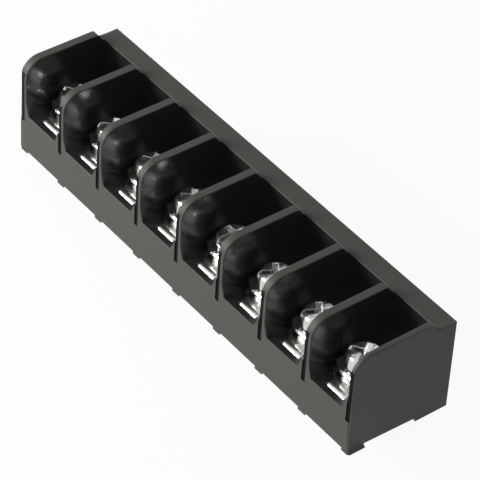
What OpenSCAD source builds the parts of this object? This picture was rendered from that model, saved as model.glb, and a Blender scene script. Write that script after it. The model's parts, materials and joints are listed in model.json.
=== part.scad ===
// Barrier terminal block for a circuit board: one moulded housing with a row of open compartments,
// each holding a folded terminal with a solder pin, a wire clamp and its clamping screw.
// Millimetres. X runs along the row, Y from the wire side to the closed back, Z up from the board.
// The origin lies on the board, at the middle of the row of solder pins.

/* [Row] */
// Number of terminals in the row
positions = 8; // [2:1:10]
// Distance from one terminal to the next
pitch = 9.5; // [9:0.1:12]

/* [Housing] */
// Depth from the wire side to the closed back
body_depth = 17.1; // [16.2:0.1:20]
// Height of the barriers above the board
barrier_h = 16.4; // [15:0.1:19]
// Thickness of a barrier between two compartments
barrier_t = 1.3; // [1:0.05:1.6]
// Radius of the front upper corner of each barrier
barrier_corner_r = 3; // [1.5:0.1:4]
// Distance of the left end wall's inner face inside the first barrier line
left_wall_in = 0.55; // [0.45:0.05:0.8]
// Distance of the right end wall's inner face inside the last barrier line
right_wall_in = 0.8; // [0.6:0.05:0.95]
// Distance of the right end's outer face outside the last barrier line, at the board
right_end_out = 0.5; // [0.4:0.05:1.2]
// Distance of the left end's outer face outside the first barrier line, at the board
left_end_out = 1; // [0.4:0.05:1.2]
// Lean of each end wall, from the board up to the barrier tops
end_draft = 0.15; // [0.05:0.01:0.3]
// Radius of the right end's upright front edge
end_edge_r = 0.5; // [0.3:0.05:0.7]
// Thickness of the closed back
back_t = 3.1; // [2:0.1:3.6]
// Drop from the barrier tops to the top of the closed back
back_drop = 1.35; // [0.5:0.05:2.5]
// Length of the curved slope between those two heights
slope_len = 1.5; // [0.8:0.1:3]
// Height of the sill that the wires pass over
sill_h = 7.05; // [6.4:0.05:7.8]
// Thickness of the compartment floor under a terminal
floor_t = 1.75; // [1.2:0.05:2.2]
// Thickness of the ribs between the pockets under the housing
rib_t = 2.3; // [1.6:0.1:2.5]
// Thickness of the outer walls round those pockets
skirt_t = 2.3; // [1.9:0.1:2.6]
// Width of the gusset in the left corner of each sill
left_gusset_w = 0.6; // [0.2:0.05:1]
// Width of the gusset in the right corner of each sill
right_gusset_w = 1.1; // [0.2:0.05:1.3]
// Height of the corner gussets on the sill
gusset_h = 2.2; // [1:0.1:3]
// Depth of the corner gussets on the sill
gusset_d = 0.9; // [0.3:0.05:1.2]
// Depth of the smooth strip let into the front edge of each barrier
strip_depth = 0.15; // [0.05:0.01:0.25]
// Width of that strip, from the left face of the barrier
strip_w = 0.8; // [0.4:0.05:0.9]
// How far that strip runs down below the sill
strip_drop = 1.4; // [0.5:0.1:3]

/* [Feet] */
// Height of the feet that hold the housing off the board
foot_h = 0.45; // [0.2:0.05:0.8]
// Width of a foot
foot_w = 1.5; // [1:0.1:2]
// Length of a foot at the wire side
front_foot_len = 2.9; // [1.5:0.1:4]
// Length of a foot at the closed back
rear_foot_len = 5.6; // [2:0.1:6]

/* [Terminal] */
// Thickness of the terminal sheet
sheet_t = 0.7; // [0.5:0.05:0.8]
// Inner radius of the fold above the leg
fold_r = 0.15; // [0.05:0.05:0.3]
// Inner radius of the bend at the front of the tongue
hook_r = 0.5; // [0.3:0.05:0.55]
// Height of the terminal's top above the sill
plate_proud = 0.05; // [0:0.05:0.3]
// Gap from the terminal plate to a barrier
plate_side_gap = 0.7; // [0.6:0.05:0.9]
// Length of the plate in front of the screw axis
plate_reach_front = 2.95; // [2.6:0.05:3.2]
// Length of the plate behind the screw axis
plate_reach_back = 3.05; // [2.6:0.05:3.2]
// Cut at the corners of the plate
plate_corner = 0.6; // [0.2:0.05:1]
// Width of the tongue at the sill
tongue_w = 3.7; // [3:0.1:4.4]
// Width of the tongue where it meets the plate
tongue_root_w = 4.8; // [4.5:0.1:5.4]
// Distance of the tongue's front face from the wire side
tongue_from_front = 1.04; // [0.9:0.02:1.14]
// Depth of the fold that hooks the tongue into the sill
hook_depth = 1.6; // [1.3:0.1:2]
// Number of grip grooves across the tongue
groove_count = 3; // [1:1:3]
// Spacing of the grip grooves
groove_pitch = 0.27; // [0.2:0.01:0.28]
// Depth of a grip groove
groove_depth = 0.15; // [0.05:0.01:0.25]
// Outer diameter of the drawn collar round the screw hole
collar_d = 4.7; // [4.4:0.1:5]
// Height of the drawn collar below the plate
collar_h = 1.3; // [0.8:0.1:1.6]
// Distance of the pin row from the wire side
pin_from_front = 10.4; // [10.2:0.1:12.2]
// Width of the leg above a pin
leg_w = 3; // [2:0.1:4]
// Height of the leg's shoulder above the board
leg_shoulder_z = 3.2; // [2.4:0.1:4]
// Width of a solder pin
pin_w = 1.2; // [0.8:0.05:1.6]
// Length of a solder pin below the board face
pin_len = 3.6; // [2:0.1:5]
// Cut at the two corners of a pin's tip
pin_tip = 0.4; // [0.1:0.05:0.5]

/* [Clamp] */
// Thickness of the clamp sheet
clamp_t = 0.6; // [0.5:0.05:0.8]
// Height of the wire channels under the clamp
channel_h = 1; // [0.7:0.05:1.3]
// Length of the clamp along the wires
clamp_len = 6; // [5.8:0.1:6.6]
// Cut at the corners of the clamp, measured across the wires
clamp_corner_x = 1.6; // [0.5:0.1:1.8]
// Cut at the corners of the clamp, measured along the wires
clamp_corner_y = 0.9; // [0.4:0.1:1.4]
// Width of the two bent lips that stand on the terminal and part the wires
lip_w = 2; // [1.4:0.1:2.6]
// Inner radius of the bends above the lips
lip_r = 0.3; // [0.1:0.05:0.4]

/* [Screw] */
// Distance of the screw axis from the wire side
screw_from_front = 6.15; // [6:0.05:6.5]
// Outer diameter of the thread
screw_d = 3.5; // [3:0.1:3.6]
// Length of the screw under its head
screw_len = 7; // [6.6:0.1:7.8]
// Bevel at the end of the thread
screw_point = 0.45; // [0.2:0.05:0.8]
// Diameter of the screw head
head_d = 5.6; // [5:0.1:6]
// Height of the screw head
head_h = 2.7; // [2:0.05:2.9]
// Height of the straight side of the head
head_side_h = 0.7; // [0.3:0.05:1]
// Diameter of the flat top of the head
head_flat_d = 4; // [3:0.1:4.4]
// Width of the slot in the head
slot_w = 0.8; // [0.6:0.05:1]
// Depth of the slot in the head
slot_depth = 0.9; // [0.6:0.05:1.1]
// Span of the cross recess
cross_span = 3.5; // [3:0.1:3.8]
// Depth of the cross recess
cross_depth = 1.5; // [1.2:0.05:1.6]
// Span of the cross recess at its foot
cross_foot = 1.3; // [0.9:0.1:2]

/* [Clearances] */
// Gap round a terminal in its seat
seat_gap = 0.05; // [0.02:0.01:0.1]
// Radial gap between the thread and the holes it passes
thread_gap = 0.07; // [0.03:0.01:0.1]
// Gap between the tightened clamp and the terminal
clamp_gap = 0.05; // [0.02:0.01:0.1]
// Gap between the screw head and the clamp
head_gap = 0.03; // [0.02:0.01:0.1]
// Radial gap between the drawn collar and its well
well_gap = 0.25; // [0.1:0.05:0.4]

/* [Hidden] */
// Smoothness of round walls, and steps along a quarter arc
$fn = 64;
arc_steps = 10;
// Overshoot of a cut past the face it opens
cut = 1;

row_half = positions * pitch / 2;
right_x = row_half + right_end_out;
left_x = -row_half - left_end_out;
body_w = right_x - left_x;
body_mid = (right_x + left_x) / 2;
comp_w = pitch - barrier_t;
back_face = body_depth - back_t;
back_h = barrier_h - back_drop;

plate_top = sill_h + plate_proud;
seat_z = plate_top - sheet_t;
floor_z = seat_z - floor_t;
fold_out = fold_r + sheet_t;
hook_out = hook_r + sheet_t;
hook_fold_y = tongue_from_front + hook_out;
leg_back = pin_from_front + sheet_t / 2;
leg_fold_y = leg_back - fold_out;
plate_w = comp_w - 2 * plate_side_gap;
plate_y0 = screw_from_front - plate_reach_front;
plate_y1 = screw_from_front + plate_reach_back;
groove_w = groove_pitch / 2;

clamp_w = plate_w - 2 * seat_gap;
lip_out = lip_r + clamp_t;
clamp_h = channel_h + clamp_t;
clamp_z = plate_top + clamp_gap;
head_z = clamp_z + clamp_h + head_gap;
// Angles at which the screws of one strip of eight came to rest
slot_turns = [30, 45, 120, 135, 90, 60, 60, 30];

// Middle of compartment i and line of barrier i
function comp_x(i) = (i - 0.5) * pitch - row_half;
function line_x(i) = i * pitch - row_half;

// Points along an arc from angle a to angle b
function arc(c, r, a, b) =
    [for (s = [0:arc_steps]) c + r * [cos(a + (b - a) * s / arc_steps), sin(a + (b - a) * s / arc_steps)]];

// Points down the curved slope behind a barrier's flat top
function slope() =
    [for (s = [0:arc_steps]) [
        back_face - slope_len + slope_len * s / arc_steps,
        back_h + back_drop * (1 + cos(180 * s / arc_steps)) / 2
    ]];

// An outline and its mirror image across the first axis, as one closed loop
function both_sides(half) =
    concat(half, [for (s = [len(half) - 1:-1:0]) [-half[s][0], half[s][1]]]);

// Distances from the wire side become distances from the pin row
module from_front() {
    translate([0, -pin_from_front, 0]) children();
}

// Pushes a Y-Z outline along X, centred on x
module along_x(x, w) {
    translate([x - w / 2, 0, 0]) rotate([90, 0, 90]) linear_extrude(w) children();
}

// Pushes an X-Z outline along Y, from y to y + d
module along_y(y, d) {
    translate([0, y + d, 0]) rotate([90, 0, 0]) linear_extrude(d) children();
}

// Side view of a barrier, with its round front corner and curved rear slope
module barrier_outline() {
    polygon(concat(
        [[back_face, foot_h], [0, foot_h]],
        arc([barrier_corner_r, barrier_h - barrier_corner_r], barrier_corner_r, 180, 90),
        slope()
    ));
}

// Side view of the base with its sill and closed back
module base_outline() {
    polygon([
        [0, foot_h], [body_depth, foot_h], [body_depth, back_h],
        [back_face, back_h], [back_face, sill_h], [0, sill_h]
    ]);
}

// Front view of the whole housing with its leaning ends
module lean_outline() {
    polygon([
        [left_x, 0], [right_x, 0],
        [right_x - end_draft, barrier_h], [left_x + end_draft, barrier_h]
    ]);
}

// Plan of the terminal plate with its tongue and tail, grown by g all round
module plate_outline(g) {
    half = [
        [tongue_w / 2 + g, hook_fold_y],
        [tongue_root_w / 2 + g, plate_y0 - g],
        [plate_w / 2 + g - plate_corner, plate_y0 - g],
        [plate_w / 2 + g, plate_y0 - g + plate_corner],
        [plate_w / 2 + g, plate_y1 + g - plate_corner],
        [plate_w / 2 + g - plate_corner, plate_y1 + g],
        [leg_w / 2 + g, plate_y1 + g],
        [leg_w / 2 + g, leg_fold_y]
    ];
    polygon(both_sides(half));
}

// Small triangle of width w that thickens a barrier face at x where it meets the sill
module gusset(x, w) {
    along_y(0, gusset_d)
        polygon([[x, sill_h], [x + w, sill_h], [x, sill_h + gusset_h]]);
}

// Foot pair under barrier line i, kept inside the end faces
module feet(i) {
    x = max(left_x, min(right_x - foot_w, line_x(i) - foot_w / 2));
    translate([x, 0, 0]) cube([foot_w, front_foot_len, foot_h]);
    translate([x, body_depth - rear_foot_len, 0]) cube([foot_w, rear_foot_len, foot_h]);
}

// Wall from face a to face b with the outline of a barrier
module barrier(a, b) {
    along_x((a + b) / 2, b - a) barrier_outline();
}

// Solid form of the housing before its seats and pockets are cut
module housing_form() {
    intersection() {
        union() {
            along_x(body_mid, body_w) base_outline();
            barrier(left_x, -row_half + left_wall_in);
            barrier(row_half - right_wall_in, right_x);
            gusset(-row_half + left_wall_in, left_gusset_w + barrier_t / 2 - left_wall_in);
            gusset(row_half - right_wall_in, -right_gusset_w);
            for (i = [1:positions - 1]) {
                barrier(line_x(i) - barrier_t / 2, line_x(i) + barrier_t / 2);
                gusset(line_x(i) + barrier_t / 2, left_gusset_w);
                gusset(line_x(i) - barrier_t / 2, -right_gusset_w);
            }
            for (i = [0:positions]) feet(i);
        }
        along_y(0, body_depth) lean_outline();
    }
}

// Seat, hook slot, leg slot and screw well of one terminal
module seat_cuts() {
    translate([0, 0, seat_z]) linear_extrude(plate_proud + sheet_t + cut) plate_outline(seat_gap);
    translate([-tongue_w / 2 - seat_gap, tongue_from_front - seat_gap, plate_top - hook_depth - seat_gap])
        cube([tongue_w + 2 * seat_gap, hook_out + 2 * seat_gap, hook_depth + cut]);
    translate([-leg_w / 2 - seat_gap, leg_fold_y - seat_gap, floor_z - cut])
        cube([leg_w + 2 * seat_gap, fold_out + 2 * seat_gap, plate_top - floor_z + 2 * cut]);
    translate([0, screw_from_front, floor_z - cut])
        cylinder(h = floor_t + 2 * cut, d = collar_d + 2 * well_gap);
}

// Pocket under one compartment
module pocket_cut() {
    translate([-(pitch - rib_t) / 2, skirt_t, -cut])
        cube([pitch - rib_t, body_depth - 2 * skirt_t, floor_z + cut]);
}

// Smooth strip on the left of barrier i's front edge, right out to the corner at the two ends
module strip_cut(i) {
    x0 = i == 0 ? left_x - cut : line_x(i) - (i == positions ? right_wall_in : barrier_t / 2);
    x1 = i == positions ? right_x + cut : line_x(i) - barrier_t / 2 + strip_w;
    translate([x0, -cut, sill_h - strip_drop])
        cube([x1 - x0, cut + strip_depth, barrier_h - sill_h + strip_drop]);
}

// Takes the corner off the right end's upright front edge
module edge_cut() {
    translate([right_x - end_edge_r, 0, -cut])
        linear_extrude(barrier_h + 2 * cut)
            polygon(concat(
                [[0, -cut], [end_edge_r + cut, -cut], [end_edge_r + cut, end_edge_r]],
                arc([0, end_edge_r], end_edge_r, 0, -90)
            ));
}

// One-piece moulded housing
module housing() {
    color([0.09, 0.09, 0.09])
        from_front()
            difference() {
                housing_form();
                for (i = [1:positions])
                    translate([comp_x(i), 0, 0]) {
                        seat_cuts();
                        pocket_cut();
                    }
                for (i = [0:positions]) strip_cut(i);
                edge_cut();
            }
}

// Side view of a right-angle fold in sheet t thick, with inner radius r and a leg that points down
module fold_outline(leg, t, r) {
    polygon(concat(
        arc([0, -r - t], r + t, 90, 0),
        [[r + t, -leg], [r, -leg]],
        arc([0, -r - t], r, 0, 90)
    ));
}

// Front view of the leg, its shoulders and the solder pin with a pointed tip
module leg_outline() {
    polygon(both_sides([
        [leg_w / 2, plate_top - fold_out],
        [leg_w / 2, leg_shoulder_z],
        [pin_w / 2, leg_shoulder_z - (leg_w - pin_w) / 2],
        [pin_w / 2, pin_tip - pin_len],
        [pin_w / 2 - pin_tip, -pin_len]
    ]));
}

// Folded terminal: plate, hooked tongue, drawn collar, leg and solder pin
module terminal(i) {
    color([0.84, 0.84, 0.82])
        from_front()
            translate([comp_x(i), 0, 0])
                difference() {
                    union() {
                        translate([0, 0, seat_z]) linear_extrude(sheet_t) plate_outline(0);
                        along_x(0, tongue_w)
                            translate([hook_fold_y, plate_top])
                                mirror([1, 0]) fold_outline(hook_depth, sheet_t, hook_r);
                        along_x(0, leg_w)
                            translate([leg_fold_y, plate_top]) fold_outline(fold_out, sheet_t, fold_r);
                        along_y(leg_back - sheet_t, sheet_t) leg_outline();
                        translate([0, screw_from_front, seat_z - collar_h])
                            cylinder(h = collar_h, d = collar_d);
                    }
                    translate([0, screw_from_front, seat_z - collar_h - cut])
                        cylinder(h = collar_h + sheet_t + 2 * cut, d = screw_d + 2 * thread_gap);
                    for (g = [1:groove_count]) {
                        y = hook_fold_y + (g - 0.5) * groove_pitch;
                        translate([-tongue_root_w / 2 - cut, y, plate_top - groove_depth])
                            cube([tongue_root_w + 2 * cut, groove_w, cut]);
                    }
                }
}

// Plan of the clamp's flat, with its corners cut and room for the bends above the lips
module clamp_plan() {
    front = [
        [lip_w / 2, lip_out - clamp_len / 2],
        [lip_w / 2, -clamp_len / 2],
        [clamp_w / 2 - clamp_corner_x, -clamp_len / 2],
        [clamp_w / 2, clamp_corner_y - clamp_len / 2]
    ];
    back = [for (s = [len(front) - 1:-1:0]) [front[s][0], -front[s][1]]];
    polygon(both_sides(concat(front, back)));
}

// Wire clamp that rides up and down under the screw head
module clamp(i) {
    color([0.78, 0.78, 0.77])
        from_front()
            translate([comp_x(i), screw_from_front, clamp_z])
                difference() {
                    union() {
                        translate([0, 0, channel_h]) linear_extrude(clamp_t) clamp_plan();
                        for (turn = [0, 180])
                            rotate([0, 0, turn])
                                along_x(0, lip_w)
                                    translate([clamp_len / 2 - lip_out, clamp_h])
                                        fold_outline(clamp_h, clamp_t, lip_r);
                    }
                    translate([0, 0, -cut]) cylinder(h = clamp_h + 2 * cut, d = screw_d + 2 * thread_gap);
                }
}

// Half section of the screw: plain shank with a pointed end and a pan head
module screw_section() {
    polygon(concat(
        [[0, -screw_len], [screw_d / 2 - screw_point, -screw_len], [screw_d / 2, screw_point - screw_len]],
        [[screw_d / 2, 0], [head_d / 2, 0]],
        [for (s = [0:arc_steps]) [
            head_flat_d / 2 + (head_d - head_flat_d) / 2 * cos(90 * s / arc_steps),
            head_side_h + (head_h - head_side_h) * sin(90 * s / arc_steps)
        ]],
        [[0, head_h]]
    ));
}

// Side view of one blade of the cross recess, narrower at its foot
module blade_outline() {
    polygon(both_sides([
        [cross_foot / 2, head_h - cross_depth],
        [cross_span / 2, head_h],
        [cross_span / 2, head_h + cut]
    ]));
}

// Clamping screw with a combined slot and cross recess, each turned to its own angle
module screw(i) {
    color([0.86, 0.86, 0.85])
        from_front()
            translate([comp_x(i), screw_from_front, head_z])
                rotate([0, 0, slot_turns[(i - 1) % len(slot_turns)]])
                    difference() {
                        rotate_extrude() screw_section();
                        translate([-head_d, -slot_w / 2, head_h - slot_depth])
                            cube([2 * head_d, slot_w, slot_depth + cut]);
                        for (turn = [0, 90])
                            rotate([0, 0, turn]) along_y(-slot_w / 2, slot_w) blade_outline();
                    }
}

housing();
for (i = [1:positions]) {
    terminal(i);
    clamp(i);
    screw(i);
}
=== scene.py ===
"""Looks of a barrier terminal block: a black moulding with plated terminals, wire clamps and screws.

Metres throughout, in the part's own frame: X along the row, -Y towards the wire side, Z up from the board.
"""
import json
import math

import bmesh
import bpy
from mathutils import Matrix, Vector


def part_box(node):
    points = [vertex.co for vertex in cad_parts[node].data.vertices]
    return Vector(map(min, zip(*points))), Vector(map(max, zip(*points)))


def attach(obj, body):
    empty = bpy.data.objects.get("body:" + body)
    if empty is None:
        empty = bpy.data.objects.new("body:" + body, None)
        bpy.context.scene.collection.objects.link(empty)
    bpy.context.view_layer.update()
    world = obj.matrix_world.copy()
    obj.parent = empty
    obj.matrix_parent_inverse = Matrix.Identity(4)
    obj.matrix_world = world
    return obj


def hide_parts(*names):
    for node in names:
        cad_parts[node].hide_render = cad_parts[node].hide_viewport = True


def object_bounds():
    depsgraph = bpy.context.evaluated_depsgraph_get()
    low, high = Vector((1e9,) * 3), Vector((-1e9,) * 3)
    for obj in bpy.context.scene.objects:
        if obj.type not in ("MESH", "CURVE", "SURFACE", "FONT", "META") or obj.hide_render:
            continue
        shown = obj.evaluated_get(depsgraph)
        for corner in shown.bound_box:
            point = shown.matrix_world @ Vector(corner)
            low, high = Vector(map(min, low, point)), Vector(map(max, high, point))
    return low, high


MM = 0.001

# Camera, fitted to the photograph's view of the barriers
AZIMUTH = math.radians(50.3915)
ELEVATION = math.radians(40.7972)
ROLL = math.radians(3.7341)
LENS = 196.4
SENSOR = 36.0
EYE = Vector((214.9, -177.14, 245.26)) * MM
NEAR_CLIP = 10 * MM

# Housing
BACK_DROP = 1.35 * MM
END_LEAN = 0.15 * MM
END_TURN = 0.45 * MM
FOOT_H = 0.45 * MM
EDGE_R = 0.5 * MM
ROUND_ZONE = 3 * MM
STRIP_DEPTH = 0.15 * MM
NEAR = 0.05 * MM
EDGE_ROUND = 0.16 * MM
EDGE_SEGMENTS = 3
CORNER_ROUND = 0.2 * MM
CORNER_SEGMENTS = 5
TALL_EDGE = 5 * MM
LOW_EDGE = 1 * MM
THIN_FACE = 0.3 * MM

# Material slots of the housing
OUTSIDE, INSIDE, STRIP = range(3)

# Least share of a face's normal along an axis
SQUARE = 0.9
FORWARD = 0.3
UPWARD = 0.2
RIGHTWARD = 0.05

# Plated metal
STAINED = 0.9
SHEET_ROUND = 0.1 * MM
SHEET_SEGMENTS = 2

# Screws
HEAD_BEVEL = 0.1 * MM
HEAD_SIDE = 0.7 * MM
HEAD_FLAT_R = 2.0 * MM
HEAD_STEPS = 96
SHOULDER_STEPS = 12
SLOT_W = 0.8 * MM
SLOT_DEPTH = 0.9 * MM
SLOT_REACH = 10 * MM
CROSS_SPAN = 3.5 * MM
CROSS_FOOT = 1.3 * MM
CROSS_DEPTH = 1.5 * MM
CROSS_FLARE = 0.66
BLADE_W = SLOT_W * 1.02
OVERSHOOT = 1 * MM
RECESS_ROUND = 0.07 * MM
RECESS_SEGMENTS = 2
LEAD = 0.6 * MM
CREST = LEAD / 10
THREAD_R = 1.75 * MM
THREAD_DEPTH = 0.33 * MM
THREAD_STEPS = 32
SPARE_TURNS = 2
POINT = 0.45 * MM
SLOT_TURNS = (30, 45, 120, 135, 90, 60, 60, 30)

# Light: a dim white sky, mirrored as full white but for a dark zone above and behind the right end
WHITE = (1, 1, 1, 1)
SKY_FILL = 0.34
FLAG_SIDE = (0.583, 0.483, 0.653)
FLAG_START = 0.6
FLAG_FULL = 0.85
FLAG_DEPTH = 0.9
LAMP_POWER = 1.5
LAMP_SIZE = 0.12
LAMP_PLACE = (-0.21, -0.265, 0.15)

# Floor
PAPER = (0.9, 0.9, 0.9, 1)
FLOOR_SIZE = 2.0
FLOOR_GLOW = 0.93

# Meshes
MERGE = 1e-6
FLAT = math.radians(0.3)
RIDGE = math.radians(30)
CREASE = math.radians(40)

# Colour sockets of a Mix node
MIX_FIRST = 6
MIX_SECOND = 7
MIX_RESULT = 2

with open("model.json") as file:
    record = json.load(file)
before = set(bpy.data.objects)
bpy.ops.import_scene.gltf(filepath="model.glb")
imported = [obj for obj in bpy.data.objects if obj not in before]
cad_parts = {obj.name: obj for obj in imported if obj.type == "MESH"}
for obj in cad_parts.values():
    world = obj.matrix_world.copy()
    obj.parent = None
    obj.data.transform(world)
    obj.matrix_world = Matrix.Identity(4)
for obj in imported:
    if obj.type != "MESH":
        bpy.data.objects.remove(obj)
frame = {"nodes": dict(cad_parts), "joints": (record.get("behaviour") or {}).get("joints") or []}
cad_low, cad_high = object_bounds()
rows = sum(name.startswith("screw_") for name in frame["nodes"])


class Value:
    """A shader socket that takes part in plain arithmetic."""

    def __init__(self, finish, socket):
        self.finish = finish
        self.socket = socket

    def math(self, operation, first, second):
        made = self.finish.node("ShaderNodeMath", {"operation": operation}, {0: first, 1: second})
        return Value(self.finish, made.outputs[0])

    def __add__(self, other):
        return self.math("ADD", self, other)

    def __radd__(self, other):
        return self.math("ADD", other, self)

    def __rsub__(self, other):
        return self.math("SUBTRACT", other, self)

    def __mul__(self, other):
        return self.math("MULTIPLY", self, other)

    def __rmul__(self, other):
        return self.math("MULTIPLY", other, self)


class Finish:
    """A node material, or the world, with one method that adds a node."""

    def __init__(self, name, owner=None):
        self.owner = owner or bpy.data.materials.new(name)
        self.owner.use_nodes = True
        self.tree = self.owner.node_tree
        self.tree.nodes.clear()

    def node(self, kind, settings=None, sockets=None):
        made = self.tree.nodes.new(kind)
        for key, setting in (settings or {}).items():
            setattr(made, key, setting)
        for key, given in (sockets or {}).items():
            if isinstance(given, Value):
                given = given.socket
            if isinstance(given, bpy.types.NodeSocket):
                self.tree.links.new(given, made.inputs[key])
            else:
                made.inputs[key].default_value = given
        return made

    def noise(self, scale, detail=2.0, roughness=0.5, stretch=None):
        """Cloudy pattern that stays with the piece."""
        where = self.node("ShaderNodeTexCoord").outputs["Object"]
        if stretch:
            where = self.node("ShaderNodeMapping", None, {"Vector": where, "Scale": stretch}).outputs[0]
        made = self.node("ShaderNodeTexNoise", None,
                         {"Vector": where, "Scale": scale, "Detail": detail, "Roughness": roughness})
        return Value(self, made.outputs["Fac"])

    def blend(self, factor, first, second):
        made = self.node("ShaderNodeMix", {"data_type": "RGBA"},
                         {"Factor": factor, MIX_FIRST: first, MIX_SECOND: second})
        return made.outputs[MIX_RESULT]

    def bump(self, height, depth, strength):
        made = self.node("ShaderNodeBump", None, {"Height": height, "Distance": depth, "Strength": strength})
        return made.outputs[0]

    def ray(self, kind):
        return Value(self, self.node("ShaderNodeLightPath").outputs[f"Is {kind} Ray"])

    def seen(self):
        """One where the camera sees the surface, straight or mirrored, and nought where it only lights."""
        return self.ray("Camera") + self.ray("Glossy") + self.ray("Transmission")

    def surface(self, **sockets):
        named = {key.replace("_", " "): given for key, given in sockets.items()}
        shader = self.node("ShaderNodeBsdfPrincipled", None, named)
        self.node("ShaderNodeOutputMaterial", None, {"Surface": shader.outputs[0]})
        return self.owner


def textured_black():
    """Outer skin of the moulding: fine spark-eroded grain over black with a warm cast."""
    finish = Finish("textured_black")
    grain = finish.noise(scale=5200.0, detail=3.0, roughness=0.6)
    cloud = finish.noise(scale=160.0, detail=3.0)
    return finish.surface(
        Base_Color=finish.blend(cloud, (0.050, 0.051, 0.045, 1), (0.060, 0.061, 0.054, 1)),
        Roughness=0.5 + 0.1 * cloud,
        Specular_IOR_Level=0.3,
        Normal=finish.bump(grain, depth=0.03 * MM, strength=0.5),
    )


def polished_black():
    """Inner walls of the moulding, left smooth by the polished cores."""
    finish = Finish("polished_black")
    cloud = finish.noise(scale=220.0)
    ripple = finish.noise(scale=700.0, detail=1.0)
    return finish.surface(
        Base_Color=finish.blend(cloud, (0.016, 0.016, 0.016, 1), (0.019, 0.019, 0.018, 1)),
        Roughness=0.17 + 0.1 * cloud,
        IOR=1.7,
        Specular_IOR_Level=1.0,
        Normal=finish.bump(ripple, depth=0.01 * MM, strength=0.12),
    )


def strip_painted_shade():
    """Smooth strip along the front edge of each barrier, the darkest part of the moulding: near-black and
    almost unglossed, as painted shade of a deep slot.
    """
    finish = Finish("strip_painted_shade")
    cloud = finish.noise(scale=400.0)
    return finish.surface(
        # Near-black colour and hardly any gloss are painted shade, standing in for the shadow deep inside a
        # slot
        Base_Color=finish.blend(cloud, (0.004, 0.004, 0.004, 1), (0.006, 0.006, 0.005, 1)),
        Roughness=0.3 + 0.1 * cloud,
        Specular_IOR_Level=0.03,
    )


def plating(name, colour, dull, streak):
    """Plated metal with faint rolling or turning marks, a little darker where it is stained."""
    finish = Finish(name)
    marks = finish.noise(scale=2500.0, stretch=streak)
    stain = finish.noise(scale=300.0)
    darker = tuple(level * STAINED for level in colour[:3]) + (1,)
    return finish.surface(
        Base_Color=finish.blend(stain, colour, darker),
        Metallic=1.0,
        Roughness=dull + 0.1 * marks,
        Normal=finish.bump(marks, depth=0.03 * MM, strength=0.7),
    )


def join_flat(bm):
    """Joins doubled corners, and triangles that lie flat together."""
    bmesh.ops.remove_doubles(bm, verts=bm.verts, dist=MERGE)
    bmesh.ops.dissolve_limit(bm, angle_limit=FLAT, verts=bm.verts, edges=bm.edges)
    bm.normal_update()


def drop_slivers(bm):
    """Joins doubled corners, and takes out edges and faces too small to matter."""
    bmesh.ops.remove_doubles(bm, verts=bm.verts, dist=MERGE)
    bmesh.ops.dissolve_degenerate(bm, edges=bm.edges, dist=MERGE)
    bm.normal_update()


def merged_copy(node):
    """A CAD node's mesh with its loose triangles joined into flat faces."""
    bm = bmesh.new()
    bm.from_mesh(frame["nodes"][node].data)
    join_flat(bm)
    return bm


def ridges(bm):
    """The edges that stand out sharply."""
    return [edge for edge in bm.edges
            if len(edge.link_faces) == 2 and edge.calc_face_angle_signed() > RIDGE]


def round_edges(bm, edges, width, segments):
    made = bmesh.ops.bevel(bm, geom=edges, offset=width, offset_type="OFFSET", affect="EDGES",
                           segments=segments, profile=0.5, material=-1, clamp_overlap=False, loop_slide=True)
    bm.normal_update()
    return made["faces"]


def plain_object(name, bm):
    """An object in the scene that takes over a bmesh."""
    mesh = bpy.data.meshes.new(name)
    bm.to_mesh(mesh)
    bm.free()
    made = bpy.data.objects.new(name, mesh)
    bpy.context.scene.collection.objects.link(made)
    return made


def make_piece(name, bm, materials):
    """Turns a bmesh into an object without slivers, smooth across all but its sharp edges."""
    drop_slivers(bm)
    for face in bm.faces:
        face.smooth = True
    for edge in bm.edges:
        edge.smooth = len(edge.link_faces) == 2 and edge.calc_face_angle() < CREASE
    piece = plain_object(name, bm)
    for material in materials:
        piece.data.materials.append(material)
    weighted = piece.modifiers.new("weighted", "WEIGHTED_NORMAL")
    weighted.keep_sharp = True
    return piece


def stand_for(piece, node, body):
    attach(piece, body)
    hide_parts(node)


def face_width(face):
    """Rough width of a long face."""
    return face.calc_area() / max(edge.calc_length() for edge in face.edges)


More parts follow.
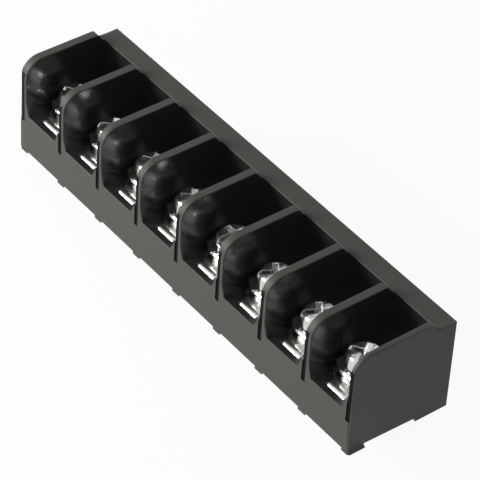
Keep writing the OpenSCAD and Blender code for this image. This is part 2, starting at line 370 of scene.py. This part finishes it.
def housing_moulding():
    """The moulding with rounded edges, grained outside and smooth inside."""
    low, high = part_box("housing")
    back_top = high.z - BACK_DROP
    bm = merged_copy("housing")

    # Above the feet, the right end's outer face is turned a little, its front edge drawn in
    for vert in bm.verts:
        if vert.co.x > high.x - EDGE_R - END_LEAN - NEAR and vert.co.z > low.z + FOOT_H / 2:
            vert.co.x -= END_TURN * (high.y - vert.co.y) / (high.y - low.y)
    bm.normal_update()

    def is_skin(face):
        centre = face.calc_center_median()
        normal = face.normal
        if normal.z < -SQUARE or (normal.z > UPWARD and centre.z > back_top - NEAR):
            return True
        if normal.x > RIGHTWARD and centre.x > high.x - EDGE_R - END_TURN - NEAR:
            return True
        if abs(normal.x) > SQUARE:
            return centre.x < low.x + END_LEAN + NEAR
        if normal.y > 0:
            return centre.y > high.y - NEAR or centre.z > back_top
        return normal.y < -FORWARD and (centre.y < low.y + NEAR or centre.z > high.z - ROUND_ZONE)

    def is_strip(face):
        return face.normal.y < -SQUARE and abs(face.calc_center_median().y - low.y - STRIP_DEPTH) < NEAR

    for face in bm.faces:
        face.material_index = OUTSIDE if is_skin(face) else STRIP if is_strip(face) else INSIDE
    corners = [edge for edge in ridges(bm)
               if all(vert.co.y > high.y - NEAR for vert in edge.verts)
               and abs(edge.verts[0].co.z - edge.verts[1].co.z) > TALL_EDGE]
    round_edges(bm, corners, CORNER_ROUND, CORNER_SEGMENTS)
    outline = [edge for edge in ridges(bm)
               if any(face.material_index == OUTSIDE for face in edge.link_faces)
               and min(face_width(face) for face in edge.link_faces) > THIN_FACE
               and max(vert.co.z for vert in edge.verts) > LOW_EDGE]
    for face in round_edges(bm, outline, EDGE_ROUND, EDGE_SEGMENTS):
        face.material_index = OUTSIDE
    piece = make_piece("housing_moulding", bm, [textured_black(), polished_black(), strip_painted_shade()])
    stand_for(piece, "housing", "block")


def sheet_pieces():
    """Terminals and wire clamps with the slightly rounded edges of pressed sheet."""
    tin = plating("tin_plating", (0.72, 0.72, 0.70, 1), dull=0.16, streak=(1.0, 0.2, 1.0))
    nickel = plating("nickel_plating", (0.63, 0.62, 0.60, 1), dull=0.14, streak=(0.2, 1.0, 1.0))
    for i in range(1, rows + 1):
        for kind, body, material in (("terminal", "block", tin), ("clamp", f"clamp_{i}", nickel)):
            node = f"{kind}_{i}"
            bm = merged_copy(node)
            round_edges(bm, ridges(bm), SHEET_ROUND, SHEET_SEGMENTS)
            piece = make_piece(f"pressed_{node}", bm, [material])
            stand_for(piece, node, body)


def spun(bm, points, steps, lead=0.0):
    """Spins a chain of radius and height points about Z, rising by lead in the turn."""
    verts = [bm.verts.new((radius, 0.0, height)) for radius, height in points]
    edges = [bm.edges.new(pair) for pair in zip(verts, verts[1:])]
    bmesh.ops.spin(bm, geom=verts + edges, cent=(0, 0, 0), axis=(0, 0, 1), dvec=(0, 0, lead / steps),
                   angle=math.tau, steps=steps, use_merge=not lead)


def close_up(bm):
    """Fills the open ends and turns every face outward."""
    drop_slivers(bm)
    bmesh.ops.holes_fill(bm, edges=[edge for edge in bm.edges if edge.is_boundary], sides=0)
    bmesh.ops.recalc_face_normals(bm, faces=bm.faces)


def combined(bm, other, operation):
    """Joins a second shape to the first, or cuts it out, and gives back the result."""
    base = plain_object("base", bm)
    tool = plain_object("tool", other)
    step = base.modifiers.new("step", "BOOLEAN")
    step.operation = operation
    step.solver = "EXACT"
    # The cutter for the recess overlaps itself
    step.use_self = operation == "DIFFERENCE"
    step.object = tool
    bpy.context.view_layer.update()
    shaped = base.evaluated_get(bpy.context.evaluated_depsgraph_get()).to_mesh()
    made = bmesh.new()
    made.from_mesh(shaped)
    for used in (base, tool):
        bpy.data.objects.remove(used)
    join_flat(made)
    return made


def recess_cutter(head_top):
    """Slot across the head and the two tapered blades of the cross, as one cutting shape."""
    bm = bmesh.new()
    slot = Matrix.LocRotScale(Vector((0, 0, head_top - SLOT_DEPTH + OVERSHOOT)), None,
                              Vector((SLOT_REACH, SLOT_W, 2 * OVERSHOOT)))
    bmesh.ops.create_cube(bm, size=1.0, matrix=slot)
    widest = CROSS_SPAN / 2 * (1 + OVERSHOOT / CROSS_DEPTH * CROSS_FLARE)
    for turn in (0, math.pi / 2):
        blade = bmesh.ops.create_cube(bm, size=1.0)["verts"]
        for vert in blade:
            reach = CROSS_FOOT / 2 if vert.co.z < 0 else widest
            height = head_top - CROSS_DEPTH if vert.co.z < 0 else head_top + OVERSHOOT
            vert.co = Vector((math.copysign(reach, vert.co.x), vert.co.y * BLADE_W, height))
        bmesh.ops.rotate(bm, verts=blade, cent=(0, 0, 0), matrix=Matrix.Rotation(turn, 3, "Z"))
    return bm


def screw_head(head_r, head_h):
    """Pan head about the origin, its underside at zero, with the recess cut into it."""
    bm = bmesh.new()
    profile = [(0, 0), (head_r - HEAD_BEVEL, 0), (head_r, HEAD_BEVEL)]
    for step in range(SHOULDER_STEPS + 1):
        angle = math.pi / 2 * step / SHOULDER_STEPS
        profile.append((HEAD_FLAT_R + (head_r - HEAD_FLAT_R) * math.cos(angle),
                        HEAD_SIDE + (head_h - HEAD_SIDE) * math.sin(angle)))
    profile.append((0, head_h))
    spun(bm, profile, HEAD_STEPS)
    close_up(bm)
    bm = combined(bm, recess_cutter(head_h), "DIFFERENCE")
    round_edges(bm, ridges(bm), RECESS_ROUND, RECESS_SEGMENTS)
    drop_slivers(bm)
    return bm


def cut_level(bm, height, outward, drop):
    """Cuts level through a mesh, and drops what lies outward of the cut where asked."""
    everything = bm.verts[:] + bm.edges[:] + bm.faces[:]
    bmesh.ops.bisect_plane(bm, geom=everything, dist=MERGE, plane_co=(0, 0, height),
                           plane_no=(0, 0, outward), clear_outer=drop)


def threaded_shank(length, top):
    """Threaded shank from inside the head down to its bevelled point."""
    shank = bmesh.new()
    points = []
    for turn in range(math.ceil((length + top) / LEAD) + SPARE_TURNS + 1):
        base = -length - SPARE_TURNS * LEAD + turn * LEAD
        points += [(THREAD_R - THREAD_DEPTH, base),
                   (THREAD_R, base + LEAD / 2 - CREST),
                   (THREAD_R, base + LEAD / 2 + CREST)]
    spun(shank, points, THREAD_STEPS, LEAD)
    bmesh.ops.remove_doubles(shank, verts=shank.verts, dist=MERGE)
    cut_level(shank, -length, outward=-1, drop=True)
    cut_level(shank, POINT - length, outward=1, drop=False)
    cut_level(shank, top, outward=1, drop=True)
    for vert in shank.verts:
        most = THREAD_R - POINT + max(0.0, vert.co.z + length)
        shrink = min(1.0, most / math.hypot(vert.co.x, vert.co.y))
        vert.co = Vector((vert.co.x * shrink, vert.co.y * shrink, vert.co.z))
    close_up(shank)
    return shank


def clamping_screws():
    """One screw shape, set down at each screw's own place and turn."""
    bright = plating("bright_plating", (0.66, 0.66, 0.65, 1), dull=0.1, streak=(1.0, 1.0, 0.2))
    places = {joint["child"]: Vector(joint["pos_m"]) for joint in frame["joints"] if joint["type"] == "hinge"}
    low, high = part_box("screw_1")
    seat = places["screw_1"]
    head = screw_head((high.x - low.x) / 2, high.z - seat.z)
    master = combined(head, threaded_shank(seat.z - low.z, HEAD_SIDE), "UNION")
    for i in range(1, rows + 1):
        node = f"screw_{i}"
        bm = master.copy()
        turn = math.radians(SLOT_TURNS[(i - 1) % len(SLOT_TURNS)])
        placed = Matrix.Translation(places[node]) @ Matrix.Rotation(turn, 4, "Z")
        bmesh.ops.transform(bm, matrix=placed, verts=bm.verts)
        piece = make_piece(f"clamping_{node}", bm, [bright])
        stand_for(piece, node, node)
    master.free()


def white_ground():
    """Pale floor under the pins; the camera sees it nearly white, with a faint shadow."""
    bm = bmesh.new()
    bmesh.ops.create_grid(bm, x_segments=1, y_segments=1, size=FLOOR_SIZE)
    bmesh.ops.translate(bm, verts=bm.verts, vec=(0, 0, cad_low.z))
    floor = plain_object("floor", bm)
    finish = Finish("white_floor")
    paper = finish.node("ShaderNodeBsdfDiffuse", None, {"Color": PAPER}).outputs[0]
    glow = finish.node("ShaderNodeEmission", None, {"Color": WHITE, "Strength": 1.0}).outputs[0]
    both = finish.node("ShaderNodeMixShader", None, {0: finish.seen() * FLOOR_GLOW, 1: paper, 2: glow})
    finish.node("ShaderNodeOutputMaterial", None, {"Surface": both.outputs[0]})
    floor.data.materials.append(finish.owner)


def studio_light():
    """White surroundings, and one soft lamp in front of the wire side and to its left."""
    world = bpy.context.scene.world or bpy.data.worlds.new("studio")
    bpy.context.scene.world = world
    finish = Finish("studio", world)
    where = finish.node("ShaderNodeTexCoord").outputs["Generated"]
    toward = finish.node("ShaderNodeVectorMath", {"operation": "DOT_PRODUCT"}, {0: where, 1: FLAG_SIDE})
    flag = finish.node("ShaderNodeMapRange", {"interpolation_type": "SMOOTHSTEP"},
                       {"Value": toward.outputs["Value"], "From Min": FLAG_START, "From Max": FLAG_FULL})
    shade = Value(finish, flag.outputs[0]) * finish.ray("Glossy")
    strength = (SKY_FILL + (1 - SKY_FILL) * finish.seen()) * (1.0 - FLAG_DEPTH * shade)
    sky = finish.node("ShaderNodeBackground", None, {"Color": WHITE, "Strength": strength})
    finish.node("ShaderNodeOutputWorld", None, {"Surface": sky.outputs[0]})
    lamp = bpy.data.lights.new("soft_box", "AREA")
    lamp.energy = LAMP_POWER
    lamp.size = LAMP_SIZE
    box = bpy.data.objects.new("soft_box", lamp)
    box.location = LAMP_PLACE
    box.rotation_euler = (-box.location).to_track_quat("-Z", "Y").to_euler()
    bpy.context.scene.collection.objects.link(box)


def camera():
    data = bpy.data.cameras.new("camera")
    data.lens = LENS
    data.sensor_width = SENSOR
    data.clip_start = NEAR_CLIP
    made = bpy.data.objects.new("camera", data)
    aim = Matrix.Rotation(AZIMUTH, 4, "Z") @ Matrix.Rotation(math.pi / 2 - ELEVATION, 4, "X")
    made.matrix_world = Matrix.Translation(EYE) @ aim @ Matrix.Rotation(ROLL, 4, "Z")
    bpy.context.scene.collection.objects.link(made)
    bpy.context.scene.camera = made


bpy.context.scene.view_settings.view_transform = "Standard"
camera()
housing_moulding()
sheet_pieces()
clamping_screws()
white_ground()
studio_light()
